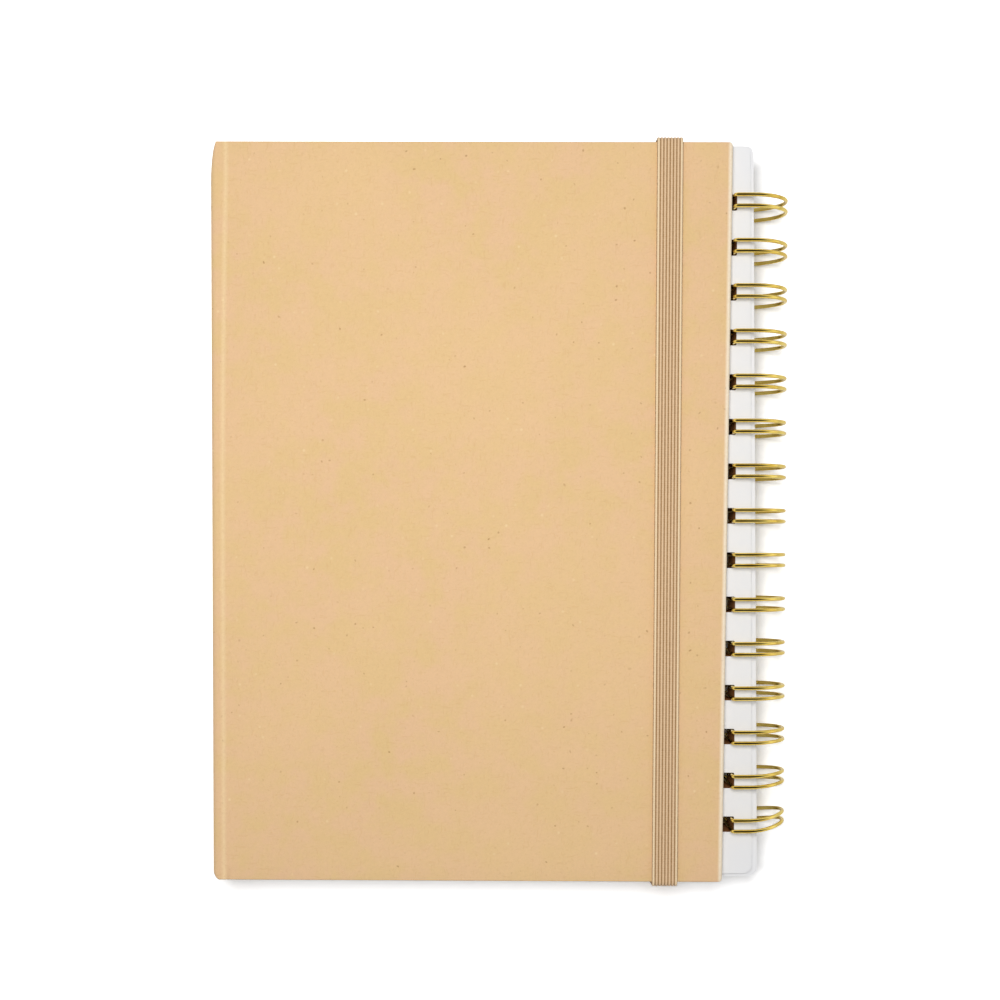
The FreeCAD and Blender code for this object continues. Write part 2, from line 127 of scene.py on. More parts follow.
def calculate(tree, operation, *values):
    """The output of one Math node."""
    return add_node(tree, "ShaderNodeMath", dict(enumerate(values)), operation=operation).outputs[0]


def ramp(tree, value, start, end, low=0.0, high=1.0, **settings):
    """The output of a Map Range node: low to high while the value goes from start to end."""
    return add_node(tree, "ShaderNodeMapRange", {
        "Value": value, "From Min": start, "From Max": end,
        "To Min": low, "To Max": high}, **settings).outputs[0]


def noise(tree, place, scale, detail, roughness=0.5):
    """The grey value of a Noise texture."""
    return add_node(tree, "ShaderNodeTexNoise", {
        "Vector": place, "Scale": scale, "Detail": detail, "Roughness": roughness}).outputs[0]


def wander(tree, place, scale, detail, reach):
    """The place moved to and fro by a noise of its own."""
    drift = add_node(tree, "ShaderNodeTexNoise", {"Vector": place, "Scale": scale, "Detail": detail})
    drift = add_node(tree, "ShaderNodeVectorMath", {0: drift.outputs["Color"], 1: (reach,) * 3},
                     operation="MULTIPLY")
    return add_node(tree, "ShaderNodeVectorMath", {0: place, 1: drift}, operation="ADD").outputs[0]


def dots(tree, place, scale, edge, core, channel, rarity):
    """Small round dots of uneven strength, in a few cells of a Voronoi texture."""
    cells = add_node(tree, "ShaderNodeTexVoronoi", {"Vector": place, "Scale": scale}).outputs
    spot = ramp(tree, cells["Distance"], edge, core)
    chosen = add_node(tree, "ShaderNodeSeparateColor", {0: cells["Color"]}).outputs[channel]
    return calculate(tree, "MULTIPLY", spot, ramp(tree, chosen, rarity, 1.0))


def mix_colours(tree, share, first, second, blend_type="MIX"):
    """The output of a colour Mix node."""
    return add_node(tree, "ShaderNodeMix", {0: share, 6: first, 7: second},
                    data_type="RGBA", blend_type=blend_type).outputs[2]


def axes(tree, place):
    """The x, y and z of a place."""
    return tuple(add_node(tree, "ShaderNodeSeparateXYZ", {0: place}).outputs)


def new_material(name):
    """An empty node material, with its tree, its Principled shader and Object coordinates."""
    material = bpy.data.materials.new(name)
    material.use_nodes = True
    tree = material.node_tree
    tree.nodes.clear()
    shader = add_node(tree, "ShaderNodeBsdfPrincipled")
    output = add_node(tree, "ShaderNodeOutputMaterial")
    tree.links.new(shader.outputs[0], output.inputs[0])
    place = add_node(tree, "ShaderNodeTexCoord").outputs["Object"]
    return material, tree, shader, place


def surface(tree, shader, base, rough, height, strength, distance):
    """Gives a Principled shader its colour, its roughness and a fine relief."""
    relief = add_node(tree, "ShaderNodeBump", {
        "Height": height, "Strength": strength, "Distance": distance})
    for name, value in (("Base Color", base), ("Roughness", rough), ("Normal", relief)):
        feed(tree, value, shader.inputs[name])


def paper_fibre_group():
    """Shader group shared by every paper: soft cloudiness, fine grain, short fibres and specks."""
    group = bpy.data.node_groups.new("paper_fibre", "ShaderNodeTree")
    group.interface.new_socket("Place", in_out="INPUT", socket_type="NodeSocketVector")
    for name in ("Cloud Scale", "Grain Scale", "Fibre Amount", "Speck Amount"):
        group.interface.new_socket(name, in_out="INPUT", socket_type="NodeSocketFloat")
    for name in ("Cloud", "Grain", "Fibres", "Specks"):
        group.interface.new_socket(name, in_out="OUTPUT", socket_type="NodeSocketFloat")
    given = add_node(group, "NodeGroupInput").outputs
    result = add_node(group, "NodeGroupOutput").inputs
    feed(group, noise(group, given["Place"], given["Cloud Scale"], 3.0, 0.55), result["Cloud"])
    feed(group, noise(group, given["Place"], given["Grain Scale"], 4.0, 0.7), result["Grain"])

    curled = wander(group, given["Place"], 350.0, 1.0, 0.0016)
    fibres = 0.0
    for scale in ((2600.0, 330.0, 1500.0), (300.0, 2400.0, 1500.0), (1500.0, 1300.0, 500.0)):
        stretched = add_node(group, "ShaderNodeMapping", {"Vector": curled, "Scale": scale})
        streak = ramp(group, noise(group, stretched, 1.0, 1.0), 0.63, 0.75)
        fibres = calculate(group, "MAXIMUM", fibres, streak)
    feed(group, calculate(group, "MULTIPLY", fibres, given["Fibre Amount"]), result["Fibres"])

    specks = dots(group, curled, 420.0, 0.16, 0.07, 0, 0.72)
    feed(group, calculate(group, "MULTIPLY", specks, given["Speck Amount"]), result["Specks"])
    return group


PAPER_FIBRE = paper_fibre_group()


def paper_material(name, colour, shade, cloudiness, roughness, bump, fibres=0.4, specks=0.0):
    """Smooth white or grey paper or board: one colour that drifts a little, and a fine tooth."""
    material, tree, shader, place = new_material(name)
    paper = add_node(tree, "ShaderNodeGroup", {
        "Place": place, "Cloud Scale": 45.0, "Grain Scale": 2600.0,
        "Fibre Amount": fibres, "Speck Amount": specks}, node_tree=PAPER_FIBRE).outputs
    drift = calculate(tree, "MULTIPLY", paper["Cloud"], cloudiness)
    drift = calculate(tree, "ADD", drift, calculate(tree, "MULTIPLY", paper["Fibres"], 0.3))
    drift = calculate(tree, "ADD", drift, paper["Specks"])
    base = mix_colours(tree, drift, linear(colour), linear(shade))
    rough = ramp(tree, paper["Grain"], 0.0, 1.0, roughness - 0.06, roughness + 0.06)
    tooth = calculate(tree, "ADD", paper["Grain"], paper["Fibres"])
    surface(tree, shader, base, rough, tooth, bump, 0.06 * MM)
    return material


def geometry_tree(name, sizes):
    """A Geometry Nodes tree with one named input for each (name, kind) of its sizes."""
    tree = bpy.data.node_groups.new(name, "GeometryNodeTree")
    tree.interface.new_socket("Geometry", in_out="INPUT", socket_type="NodeSocketGeometry")
    tree.interface.new_socket("Geometry", in_out="OUTPUT", socket_type="NodeSocketGeometry")
    for size_name, kind in sizes:
        tree.interface.new_socket(size_name, in_out="INPUT", socket_type=f"NodeSocket{kind}")
    return tree, add_node(tree, "NodeGroupInput").outputs, add_node(tree, "NodeGroupOutput")


def in_scene(name, data):
    """A new object in the scene."""
    obj = bpy.data.objects.new(name, data)
    bpy.context.scene.collection.objects.link(obj)
    return obj


def applied(obj):
    """The same object with its modifiers worked into a plain mesh."""
    depsgraph = bpy.context.evaluated_depsgraph_get()
    mesh = bpy.data.meshes.new_from_object(obj.evaluated_get(depsgraph))
    obj.modifiers.clear()
    obj.data = mesh
    mesh.name = obj.name
    return obj


def grow(name, tree, values, start_mesh=None):
    """Runs a Geometry Nodes tree with these values and keeps its result as a plain mesh object."""
    obj = in_scene(name, start_mesh or bpy.data.meshes.new(f"{name}_start"))
    modifier = obj.modifiers.new("grow", "NODES")
    modifier.node_group = tree
    for item in tree.interface.items_tree:
        if item.item_type == "SOCKET" and item.in_out == "INPUT" and item.name in values:
            modifier[item.identifier] = values[item.name]
    return applied(obj)


def end_tree(tree, shape, given, result):
    """Ends a tree: instances made real, and the given material set."""
    whole = add_node(tree, "GeometryNodeRealizeInstances", {0: shape})
    painted = add_node(tree, "GeometryNodeSetMaterial", {
        "Geometry": whole, "Material": given["Material"]})
    tree.links.new(painted.outputs[0], result.inputs[0])
    return tree


def sheet_stack_tree():
    """Geometry Nodes: a punched leaf with two rounded corners, repeated up the stack."""
    tree, given, result = geometry_tree("punched_sheets", (
        ("Spine Edge", "Float"), ("Wire Edge", "Float"), ("Foot", "Float"), ("Head", "Float"),
        ("Corner", "Float"), ("Hole Width", "Float"), ("Hole Height", "Float"),
        ("Hole Middle", "Float"), ("Hole Corner", "Float"), ("Pitch", "Float"),
        ("Holes", "Int"), ("Leaf", "Float"), ("Leaf Step", "Float"), ("Leaves", "Int"),
        ("Bottom", "Float"), ("Scatter", "Float"), ("Seed", "Int"), ("Material", "Material")))

    def middle(low, high):
        return calculate(tree, "MULTIPLY", calculate(tree, "ADD", low, high), 0.5)

    def vector(x=0.0, y=0.0, z=0.0):
        return add_node(tree, "ShaderNodeCombineXYZ", {0: x, 1: y, 2: z}).outputs[0]

    outline = add_node(tree, "GeometryNodeCurvePrimitiveQuadrilateral", {
        "Width": calculate(tree, "SUBTRACT", given["Wire Edge"], given["Spine Edge"]),
        "Height": calculate(tree, "SUBTRACT", given["Head"], given["Foot"])})
    side = axes(tree, add_node(tree, "GeometryNodeInputPosition"))[0]
    wire_side = calculate(tree, "GREATER_THAN", side, 0.0)
    radius = calculate(tree, "MULTIPLY", wire_side, given["Corner"])
    outline = add_node(tree, "GeometryNodeFilletCurve", {
        "Curve": outline, "Radius": radius, "Count": 6}, mode="POLY")
    outline = add_node(tree, "GeometryNodeTransform", {
        "Geometry": outline,
        "Translation": vector(middle(given["Spine Edge"], given["Wire Edge"]),
                              middle(given["Foot"], given["Head"]))})

    hole = add_node(tree, "GeometryNodeCurvePrimitiveQuadrilateral", {
        "Width": given["Hole Width"], "Height": given["Hole Height"]})
    hole = add_node(tree, "GeometryNodeFilletCurve", {
        "Curve": hole, "Radius": given["Hole Corner"], "Count": 3}, mode="POLY")
    steps = calculate(tree, "SUBTRACT", given["Holes"], 1.0)
    row_start = calculate(tree, "MULTIPLY", calculate(tree, "MULTIPLY", steps, given["Pitch"]), -0.5)
    row = add_node(tree, "GeometryNodeMeshLine", {
        "Count": given["Holes"], "Start Location": vector(given["Hole Middle"], row_start),
        "Offset": vector(0.0, given["Pitch"])})
    holes = add_node(tree, "GeometryNodeInstanceOnPoints", {
        "Points": row, "Instance": hole})
    holes = add_node(tree, "GeometryNodeRealizeInstances", {0: holes})
    both = add_node(tree, "GeometryNodeJoinGeometry")
    tree.links.new(outline.outputs[0], both.inputs[0])
    tree.links.new(holes.outputs[0], both.inputs[0])
    face = add_node(tree, "GeometryNodeFillCurve", {"Curve": both})
    thick = add_node(tree, "GeometryNodeExtrudeMesh", {
        "Mesh": face, "Offset": vector(z=1.0), "Offset Scale": given["Leaf"],
        "Individual": False})
    under = add_node(tree, "GeometryNodeFlipFaces", {0: face})
    leaf = add_node(tree, "GeometryNodeJoinGeometry")
    tree.links.new(thick.outputs[0], leaf.inputs[0])
    tree.links.new(under.outputs[0], leaf.inputs[0])
    leaf = add_node(tree, "GeometryNodeMergeByDistance", {
        "Geometry": leaf, "Distance": 0.000001})

    stack = add_node(tree, "GeometryNodeMeshLine", {
        "Count": given["Leaves"], "Start Location": vector(z=given["Bottom"]),
        "Offset": vector(z=given["Leaf Step"])})
    back = calculate(tree, "MULTIPLY", given["Scatter"], -1.0)
    slip = add_node(tree, "FunctionNodeRandomValue", {
        "Min": vector(back, back), "Max": vector(given["Scatter"], given["Scatter"]),
        "Seed": given["Seed"]}, data_type="FLOAT_VECTOR")
    slipped = add_node(tree, "GeometryNodeSetPosition", {
        "Geometry": stack, "Offset": slip})
    leaves = add_node(tree, "GeometryNodeInstanceOnPoints", {
        "Points": slipped, "Instance": leaf})
    return end_tree(tree, leaves, given, result)


def paint_hole_shade(material):
    """Painted shade in the punched holes: the paper there is coloured dark brown and loses its sheen,
    standing in for the shade and the brown light off the gilt wire.
    """
    tree = material.node_tree
    shader = tree.nodes["Principled BSDF"].inputs
    base = shader["Base Color"].links[0].from_socket
    x, y, z = axes(tree, add_node(tree, "ShaderNodeTexCoord").outputs["Object"])
    share = calculate(tree, "LESS_THAN", z, BLOCK_HIGH.z - SHADE_DEPTH)
    across = calculate(tree, "COMPARE", x, WIRE_X + SHADE_MIDDLE_X, SHADE_HALF)
    share = calculate(tree, "MULTIPLY", share, across)
    along = calculate(tree, "COMPARE", y, 0.0, SHEET_HEIGHT / 2 - SHADE_MARGIN)
    share = calculate(tree, "MULTIPLY", share, along)
    # Painted shade and painted brown bounce light in the holes, with the sheen taken away there.
    feed(tree, mix_colours(tree, share, base, linear(HOLE_PAINTED_SHADE)), shader["Base Color"])
    feed(tree, calculate(tree, "MULTIPLY_ADD", share, -0.5, 0.5), shader["Specular IOR Level"])


sheet_paper = paper_material("sheet_paper", PAPER_WHITE, "#E9E9EB", 0.35, 0.62, 0.25, fibres=0.15)
paint_hole_shade(sheet_paper)
sheet_tree = sheet_stack_tree()
firm_top = BLOCK_HIGH.z - LOOSE_STACK
sheet_foot = SHEET_RISE - SHEET_HEIGHT / 2
sheet_head = SHEET_RISE + SHEET_HEIGHT / 2
common = {
    "Spine Edge": SHEET_SPINE_X + LEAF_SCATTER, "Corner": SHEET_CORNER,
    "Hole Width": HOLE_WIDTH, "Hole Height": HOLE_HEIGHT, "Hole Middle": HOLE_MIDDLE_X,
    "Hole Corner": HOLE_CORNER, "Pitch": WIRE_PITCH, "Holes": LOOP_COUNT, "Leaf": LEAF,
    "Leaf Step": LEAF_STEP, "Scatter": LEAF_SCATTER, "Material": sheet_paper}
firm_sheets = grow("writing_sheets", sheet_tree, {
    **common, "Wire Edge": SHEET_WIRE_X - LEAF_SCATTER, "Foot": sheet_foot + LEAF_SCATTER,
    "Head": sheet_head - LEAF_SCATTER, "Bottom": BLOCK_LOW.z,
    "Leaves": int((firm_top - BLOCK_LOW.z) / LEAF_STEP), "Seed": 4})
loose_sheets = grow("loose_sheets", sheet_tree, {
    **common, "Wire Edge": SHEET_WIRE_X - LOOSE_SETBACK, "Foot": sheet_foot + LOOSE_LIFT,
    "Head": sheet_head - LOOSE_DROP, "Bottom": firm_top,
    "Leaves": int(LOOSE_STACK / LEAF_STEP), "Seed": 9})
for sheets in (firm_sheets, loose_sheets):
    for vert in sheets.data.vertices:
        outside = max(0.0, vert.co.x - LEAN_START_X) / (SHEET_WIRE_X - LEAN_START_X)
        vert.co.x -= SHEET_LEAN * outside * vert.co.y / sheet_head
    sheets.data.transform(WIRE_FRAME)
    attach(sheets, "back_cover")
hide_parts("page_block")

# Backing card: one stiff white card behind the sheets, punched with them on the same wire.
# It has the finish of smooth coated card.
card_finish = paper_material("card_finish", "#F3F2F0", "#E4E2E0", 0.3, 0.5, 0.15, fibres=0.1)
card_low, card_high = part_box("backing_card")
card = grow("stiff_backing_card", sheet_tree, {
    **common, "Wire Edge": SHEET_WIRE_X, "Foot": sheet_foot, "Head": sheet_head, "Scatter": 0.0,
    "Bottom": card_low.z, "Leaf": card_high.z - card_low.z, "Leaves": 1, "Material": card_finish})
card.data.transform(WIRE_FRAME)
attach(card, "back_cover")
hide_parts("backing_card")

# Binding wire: one gilt steel wire bent to and fro into fifteen twin loops and closed by a press.
# Each loop goes up round the outside, over, and down through the punched hole.
WIRE_THICK = 1.1 * MM
WIRE_LEVEL = 0.95 * MM
WIRE_TOP = 19.65 * MM
PAIR_SPACING = 3.1 * MM
CROWN_RADIUS = 12.0 * MM
CROWN_TURN = math.radians(50.0)
LEG_BEND = 0.9 * MM
TIP_RUN = 0.4 * MM
CLOSING_GAP = 2.2 * MM
LINK_BEND = 1.0 * MM
WIRE_REACH = 15.85 * MM
NOSE_START = 3.5 * MM
NOSE_LEAN = 1.9 * MM
FINE_TURN = math.radians(9.0)
WIRE_SIDES = 14
ring_height = WIRE_TOP - WIRE_LEVEL
nose_radius = CROWN_RADIUS - (CROWN_RADIUS - ring_height / 2) / math.cos(CROWN_TURN)
crown_start = WIRE_REACH - nose_radius - (CROWN_RADIUS - nose_radius) * math.sin(CROWN_TURN)
link_x = LEG_BEND + TIP_RUN + CLOSING_GAP
foot_run = crown_start - link_x - LINK_BEND
NOSE_TURN = math.pi - 2 * CROWN_TURN
QUARTER = math.pi / 2
UP, RIGHT, DOWN_ROW = Vector((0, 0, 1)), Vector((1, 0, 0)), Vector((0, -1, 0))


class WirePath:
    """The middle line of the wire as it is bent, run by run and turn by turn."""

    def __init__(self, start, heading):
        self.points = [start]
        self.heading = heading

    def straight(self, run):
        self.points.append(self.points[-1] + self.heading * run)

    def bend(self, toward, radius, turn):
        start = self.points[-1]
        centre = start + toward * radius
        axis = self.heading.cross(toward)
        steps = max(2, round(turn / FINE_TURN))
        for step in range(1, steps + 1):
            spin = Matrix.Rotation(turn * step / steps, 3, axis)
            self.points.append(centre + spin @ (start - centre))
        self.heading = spin @ self.heading
        return spin @ toward


def bend_ring(path, start_toward):
    """The outside of a loop: wide turn, nose and wide turn, half way round."""
    inward = path.bend(start_toward, CROWN_RADIUS, CROWN_TURN)
    inward = path.bend(inward, nose_radius, NOSE_TURN)
    path.bend(inward, CROWN_RADIUS, CROWN_TURN)


def wire_points():
    """The whole wire from head to foot, in the wire's own frame."""
    half_pair = PAIR_SPACING / 2
    link_run = WIRE_PITCH - PAIR_SPACING - 2 * LINK_BEND
    first_y = (LOOP_COUNT - 1) * WIRE_PITCH / 2 + half_pair
    path = WirePath(Vector((link_x, first_y + LINK_BEND + link_run / 2, WIRE_LEVEL)), DOWN_ROW)
    path.straight(link_run / 2)
    for number in range(LOOP_COUNT):
        path.bend(RIGHT, LINK_BEND, QUARTER)
        path.straight(foot_run)
        bend_ring(path, UP)
        path.straight(crown_start - LEG_BEND)
        path.bend(-UP, LEG_BEND, QUARTER)
        path.straight(ring_height - 2 * LEG_BEND)
        path.bend(RIGHT, LEG_BEND, QUARTER)
        path.straight(TIP_RUN)
        path.bend(DOWN_ROW, half_pair, math.pi)
        path.straight(TIP_RUN)
        path.bend(UP, LEG_BEND, QUARTER)
        path.straight(ring_height - 2 * LEG_BEND)
        path.bend(RIGHT, LEG_BEND, QUARTER)
        path.straight(crown_start - LEG_BEND)
        bend_ring(path, -UP)
        path.straight(foot_run)
        path.bend(DOWN_ROW, LINK_BEND, QUARTER)
        path.straight(link_run if number < LOOP_COUNT - 1 else link_run / 2)
    return [leaned(point, first_y) for point in path.points]


def leaned(point, first_y):
    """The same point with the loop's nose pressed over towards the head, more so near the foot."""
    down = min(1.0, max(0.0, (first_y - point.y) / (2 * first_y)))
    out = max(0.0, point.x - NOSE_START) / (WIRE_REACH - NOSE_START)
    return point + Vector((0, NOSE_LEAN * down ** 12 * out ** 2, 0))


def polyline(name, points):
    """A mesh of one open line through the points."""
    mesh = bpy.data.meshes.new(name)
    mesh.from_pydata(points, [(i, i + 1) for i in range(len(points) - 1)], [])
    return mesh


def draw_along(tree, section, given, result):
    """Ends a tree: the section drawn along the given line, with smooth sides and flat ends."""
    line = add_node(tree, "GeometryNodeMeshToCurve", {"Mesh": given["Geometry"]})
    tube = add_node(tree, "GeometryNodeCurveToMesh", {
        "Curve": line, "Profile Curve": section, "Fill Caps": True})
    smooth = add_node(tree, "GeometryNodeSetShadeSmooth", {"Geometry": tube})
    return end_tree(tree, smooth, given, result)


def drawn_wire_tree():
    """Geometry Nodes: a round wire drawn along the line it is given."""
    tree, given, result = geometry_tree("drawn_wire", (
        ("Thickness", "Float"), ("Sides", "Int"), ("Material", "Material")))
    section = add_node(tree, "GeometryNodeCurvePrimitiveCircle", {
        "Resolution": given["Sides"],
        "Radius": calculate(tree, "MULTIPLY", given["Thickness"], 0.5)})
    return draw_along(tree, section, given, result)


def gilt_wire_material():
    """Gilt lacquered steel: bright gold with fine drawing lines and slightly darker patches."""
    material, tree, shader, place = new_material("gilt_wire")
    drawn = noise(tree, place, 2400.0, 2.0)
    patches = ramp(tree, noise(tree, place, 260.0, 3.0), 0.35, 0.75)
    base = mix_colours(tree, patches, linear("#FBE07C"), linear("#E4BF52"))
    shader.inputs["Metallic"].default_value = 1.0
    surface(tree, shader, base, ramp(tree, drawn, 0.0, 1.0, 0.1, 0.2), drawn, 0.05, 0.05 * MM)
    return material


binding = grow("gilt_binding_wire", drawn_wire_tree(), {
    "Thickness": WIRE_THICK, "Sides": WIRE_SIDES, "Material": gilt_wire_material(),
}, polyline("wire_line", wire_points()))
binding.data.transform(WIRE_FRAME)
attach(binding, "back_cover")
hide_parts("wire_binding")

# Grey boards: three pieces of pressed grey board that stiffen the case, one in each cover and
# one in the spine. The covers' boards are the parts as built; the spine's has rubbed edges.
SKIN = 0.25 * MM
HEAD_LENGTH = 11.0 * MM
FOOT_LENGTH = 2.4 * MM
END_REACH = 1.75 * MM
BOARD_SOFT = 1.3 * MM
BOARD_REACH = 1.4 * MM
BOARD_LEAST = 0.05 * MM
HALF_HEIGHT = CASE_HIGH.y


def loft(name, rows, material):
    """A closed solid through rows of matching closed sections, with flat ends."""
    count = len(rows[0])
    mesh = bmesh.new()
    rings = [[mesh.verts.new(point) for point in row] for row in rows]
    for first, second in zip(rings, rings[1:]):
        for number in range(count):
            after = (number + 1) % count
            mesh.faces.new((first[number], first[after], second[after], second[number]))
    mesh.faces.new(rings[0])
    mesh.faces.new(rings[-1])
    bmesh.ops.recalc_face_normals(mesh, faces=mesh.faces)
    for face in mesh.faces:
        face.smooth = True
    data = bpy.data.meshes.new(name)
    mesh.to_mesh(data)
    mesh.free()
    data.materials.append(material)
    data.set_sharp_from_angle(angle=math.radians(40))
    return in_scene(name, data)


def quarter(steps=5):
    """Angles from 0 to a right angle."""
    return [QUARTER * step / steps for step in range(steps + 1)]


def dress(node_name, material):
    """Gives a part of the frame, kept as it is, its finish."""
    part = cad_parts[node_name]
    part.data.materials.clear()
    part.data.materials.append(material)


board_finish = paper_material(
    "grey_board", "#A39C92", "#857E75", 0.5, 0.85, 0.6, fibres=1.0, specks=0.5)
dress("front_board", board_finish)
dress("back_board", board_finish)


def end_inset(y):
    """How far the spine's outside has drawn in at this y, near the head or the foot."""
    length = HEAD_LENGTH if y > 0 else FOOT_LENGTH
    past = max(0.0, abs(y) - (HALF_HEIGHT - length)) / length
    return END_REACH * (1 - math.sqrt(max(0.0, 1 - past ** 2)))


def spine_stations(inset=0.0):
    """Places along the spine from foot to head, closer together where its ends are rounded."""
    half = HALF_HEIGHT - inset
    ends = []
    for length in (FOOT_LENGTH, HEAD_LENGTH):
        ends.append([half - length * (1 - math.sin(angle)) for angle in quarter(8)])
    middle = 24
    foot = [-y for y in reversed(ends[0])]
    start, stop = foot[-1], ends[1][0]
    between = [start + (stop - start) * step / middle for step in range(1, middle)]
    return foot + between + ends[1]


def spine_board_rows():
    """Upright board: a plain strip with its two outer long edges and its ends rubbed round."""
    low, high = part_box("spine_board")
    rows = []
    for y in spine_stations(SKIN):
        inset = min(end_inset(y), BOARD_REACH)
        radius = max(BOARD_LEAST, BOARD_SOFT - inset)
        edge = [(low.x + inset + radius * (1 - math.sin(angle)), BOARD_SOFT * (1 - math.cos(angle)))
                for angle in quarter()]
        section = [(high.x, y, low.z), (high.x, y, high.z)]
        section += [(x, y, high.z - fall) for x, fall in edge]
        section += [(x, y, low.z + fall) for x, fall in reversed(edge)]
        rows.append(section)
    return rows


spine_board = loft("spine_grey_board", spine_board_rows(), board_finish)
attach(spine_board, "spine")
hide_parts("spine_board")

# Kraft paper covering: recycled brown paper pasted round the boards and folded in at every edge.
# It lies in a shallow groove along each hinge and rolls over the spine's two long edges.
ROLL = 1.8 * MM
FREE_ROUND = 0.8 * MM
END_ROUND = 0.45 * MM
INNER_ROUND = 0.2 * MM
COVER_CORNER = 1.0 * MM
FINE_STEP = 0.25 * MM
TURN_IN = 12.0 * MM
PAPER_LAYERS = 0.5 * MM
BOARD_SLACK = 0.02 * MM
# Width of the painted highlight along the free edge.
EDGE_HIGHLIGHT_WIDTH = 1.5 * MM
TRIM_WIDE = 0.85 * MM
TRIM_LEAN = 0.62 * MM
SLIT_DEPTH = 0.5 * MM
SLIT_PLAY = 0.1 * MM
SLIT_TOP = 2.15 * MM
FOLD_THICK = 0.3 * MM
SPINE_ROOM = 1.2 * MM
SPINE_WINDOW = 0.1 * MM
SPINE_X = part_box("spine_covering")[0].x
FREE_X = CASE_HIGH.x
CLOSED = CASE_HIGH.z
ROLL_X = SPINE_X + ROLL
GROOVE_DEPTH = 0.09 * MM
GROOVE_WIDTH = 0.75 * MM
GROOVE_X = SPINE_X + 3.3 * MM
GROOVE_START = 10.0 * MM
GROOVE_LEAN = 1.25 * MM
# Half width of the painted highlight along the hinge groove.
GROOVE_HIGHLIGHT_HALF = 1.0 * MM
KRAFT_WARM = "#EBC694"
KRAFT_PINK = "#E9C099"
KRAFT_OLIVE = "#E3C289"
KRAFT_SPECK = "#9C6B3B"
KRAFT_FIBRE = "#D9AE78"
# Painted highlight along the free edge.
KRAFT_EDGE_HIGHLIGHT = "#FFF2DA"
# Pale flecks of the paper, and the painted highlight along the hinge groove.
KRAFT_FLECK_AND_HIGHLIGHT = "#F8DCAC"


def kraft_material():
    """Matt brown kraft: pinkish and yellowish clouds, dark fibres, dark specks and pale flecks, and
    painted highlights along the free edge and the hinge groove.
    """
    material, tree, shader, place = new_material("kraft_paper")
    paper = add_node(tree, "ShaderNodeGroup", {
        "Place": place, "Cloud Scale": 120.0, "Grain Scale": 1500.0,
        "Fibre Amount": 1.0, "Speck Amount": 1.0}, node_tree=PAPER_FIBRE).outputs
    hue = ramp(tree, paper["Cloud"], 0.38, 0.62)
    base = mix_colours(tree, hue, linear(KRAFT_PINK), linear(KRAFT_OLIVE))
    base = mix_colours(tree, noise(tree, place, 28.0, 1.0), base, linear(KRAFT_WARM))
    grain = ramp(tree, paper["Grain"], 0.3, 0.7, 0.965, 1.035)
    grey = add_node(tree, "ShaderNodeCombineColor", {0: grain, 1: grain, 2: grain})
    base = mix_colours(tree, 1.0, base, grey, "MULTIPLY")
    pale = dots(tree, place, 330.0, 0.17, 0.06, 1, 0.7)
    for mask, amount, colour in ((paper["Fibres"], 0.28, KRAFT_FIBRE),
                                 (paper["Specks"], 0.6, KRAFT_SPECK), (pale, 0.6, KRAFT_FLECK_AND_HIGHLIGHT)):
        base = mix_colours(tree, calculate(tree, "MULTIPLY", mask, amount), base, linear(colour))
    across, along = axes(tree, place)[:2]
    # Painted highlight: a pale band along the free edge, where the rounded edge would catch the light,
    # broken up by the grain.
    edge_highlight = ramp(tree, calculate(tree, "MULTIPLY_ADD", along, -TRIM_LEAN / HALF_HEIGHT, across),
                  FREE_X + TRIM_WIDE - EDGE_HIGHLIGHT_WIDTH, FREE_X + TRIM_WIDE - EDGE_HIGHLIGHT_WIDTH / 2)
    edge_highlight = calculate(tree, "MULTIPLY", edge_highlight,
                       calculate(tree, "MULTIPLY_ADD", paper["Grain"], 0.8, 0.4))
    base = mix_colours(tree, edge_highlight, base, linear(KRAFT_EDGE_HIGHLIGHT))
    # Painted highlight: a pale line along the hinge groove, where the paper's ridge would catch the
    # light, broken up by the grain.
    lean = ramp(tree, along, -GROOVE_START, HALF_HEIGHT - GROOVE_START)
    centre = calculate(tree, "MULTIPLY_ADD", calculate(tree, "POWER", lean, 2.0),
                       GROOVE_LEAN, GROOVE_X)
    off = calculate(tree, "ABSOLUTE", calculate(tree, "SUBTRACT", across, centre))
    groove_highlight = ramp(tree, off, GROOVE_HIGHLIGHT_HALF, 0.0, 0.0, 1.1)
    groove_highlight = calculate(tree, "MULTIPLY", groove_highlight, paper["Grain"])
    base = mix_colours(tree, groove_highlight, base, linear(KRAFT_FLECK_AND_HIGHLIGHT))
    rough = ramp(tree, paper["Grain"], 0.0, 1.0, 0.52, 0.68)
    tooth = calculate(tree, "ADD", paper["Grain"],
                      calculate(tree, "MULTIPLY", paper["Fibres"], 0.8))
    surface(tree, shader, base, rough, tooth, 0.35, 0.08 * MM)
    return material


kraft = kraft_material()


def groove(x, y):
    """Depth of the hinge groove: it wanders a little away from the spine towards the head."""
    lean = min(1.0, max(0.0, (y + GROOVE_START) / HALF_HEIGHT))
    centre = GROOVE_X + GROOVE_LEAN * lean ** 2
    off = abs(x - centre) / GROOVE_WIDTH
    if off >= 1:
        return 0.0
    return GROOVE_DEPTH * (0.5 + 0.5 * math.cos(math.pi * off))


def panel_section(x, half_y, outer_z, inner_z):
    """Section of a cover across the book at one x: rounded outside corners, softer inside ones."""
    away = 1 if outer_z > inner_z else -1
    rows = 48
    section = []
    for number in range(rows + 1):
        y = (half_y - END_ROUND) * (2 * number / rows - 1)
        section.append((x, y, outer_z - away * groove(x, y)))
    for angle in quarter()[1:]:
        y = half_y - END_ROUND * (1 - math.sin(angle))
        fall = END_ROUND * (1 - math.cos(angle)) + groove(x, y) * math.cos(angle)
        section.append((x, y, outer_z - away * fall))
    for angle in quarter(2):
        y = half_y - INNER_ROUND * (1 - math.cos(angle))
        section.append((x, y, inner_z + away * INNER_ROUND * (1 - math.sin(angle))))
    mirrored = [(px, -py, pz) for px, py, pz in reversed(section[rows + 1:])]
    return section + mirrored


